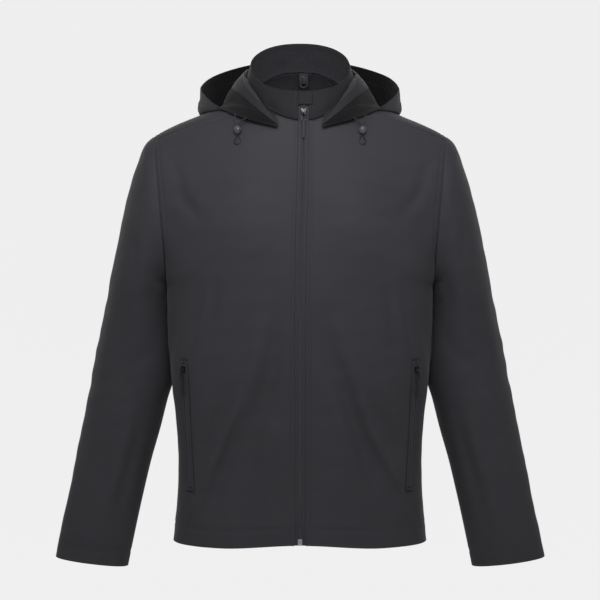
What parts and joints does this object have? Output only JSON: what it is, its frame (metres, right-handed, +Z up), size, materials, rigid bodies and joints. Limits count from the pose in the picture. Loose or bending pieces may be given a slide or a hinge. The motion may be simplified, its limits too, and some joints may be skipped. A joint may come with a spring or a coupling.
{
  "type": "hooded softshell jacket",
  "caption": "Hollow zipped jacket with a stand collar, a hood lying on the back, long sleeves, side pockets with zips, and drawcord loops with toggles at the hood's edge.",
  "frame": {"origin": "middle of the neck base, where a hanger or a neck would hold the jacket, level with the middle of the shoulders", "axes": "+Z up along the body towards the collar, the front with the zip faces -Y, the wearer's left sleeve is at +X"},
  "size_m": [0.786, 0.3016, 0.839],
  "materials": {
    "shell_cloth": "matt charcoal softshell with a fine knit face",
    "zip_tape": "dark grey woven tape",
    "zip_coil": "dark grey coil teeth under a smooth film",
    "slider_metal": "gunmetal, satin",
    "pull_rubber": "soft matt moulded rubber on a metal ring",
    "elastic_cord": "round black braided elastic cord",
    "toggle_plastic": "grey moulded plastic, satin",
    "label_cloth": "bare woven tape, no lettering"
  },
  "bodies": {
    "jacket": {"front_left": "shell_cloth", "front_right": "shell_cloth", "back": "shell_cloth", "sleeve_left": "shell_cloth", "sleeve_right": "shell_cloth", "collar": "shell_cloth", "hood_left": "shell_cloth", "hood_right": "shell_cloth", "zip_garage": "shell_cloth", "zip_tape_left": "zip_tape", "zip_tape_right": "zip_tape", "zip_chain": "zip_coil", "zip_box": "slider_metal", "main_slider": "slider_metal", "pocket_zip_left": "zip_tape", "pocket_zip_right": "zip_tape", "pocket_left_slider": "slider_metal", "pocket_right_slider": "slider_metal", "drawcord_left": "elastic_cord", "drawcord_right": "elastic_cord", "toggle_left": "toggle_plastic", "toggle_right": "toggle_plastic", "hang_loop": "label_cloth", "neck_label": "label_cloth"},
    "main_pull": {"main_pull": "pull_rubber"},
    "pocket_left_pull": {"pocket_left_pull": "pull_rubber"},
    "pocket_right_pull": {"pocket_right_pull": "pull_rubber"}
  },
  "joints": [
    {"name": "main_pull_hinge", "type": "hinge", "parent": "jacket", "child": "main_pull", "pos_m": [0.00588, -0.09483, 0.00573], "axis": [-0.9999, -0.0072, 0.0101], "range_deg": [0, 150]},
    {"name": "pocket_left_pull_hinge", "type": "hinge", "parent": "jacket", "child": "pocket_left_pull", "pos_m": [0.18558, -0.07251, -0.39742], "axis": [-0.713, -0.7011, 0.0005], "range_deg": [0, 150]},
    {"name": "pocket_right_pull_hinge", "type": "hinge", "parent": "jacket", "child": "pocket_right_pull", "pos_m": [-0.18558, -0.07251, -0.39742], "axis": [-0.713, 0.7011, -0.0005], "range_deg": [0, 150]}
  ]
}
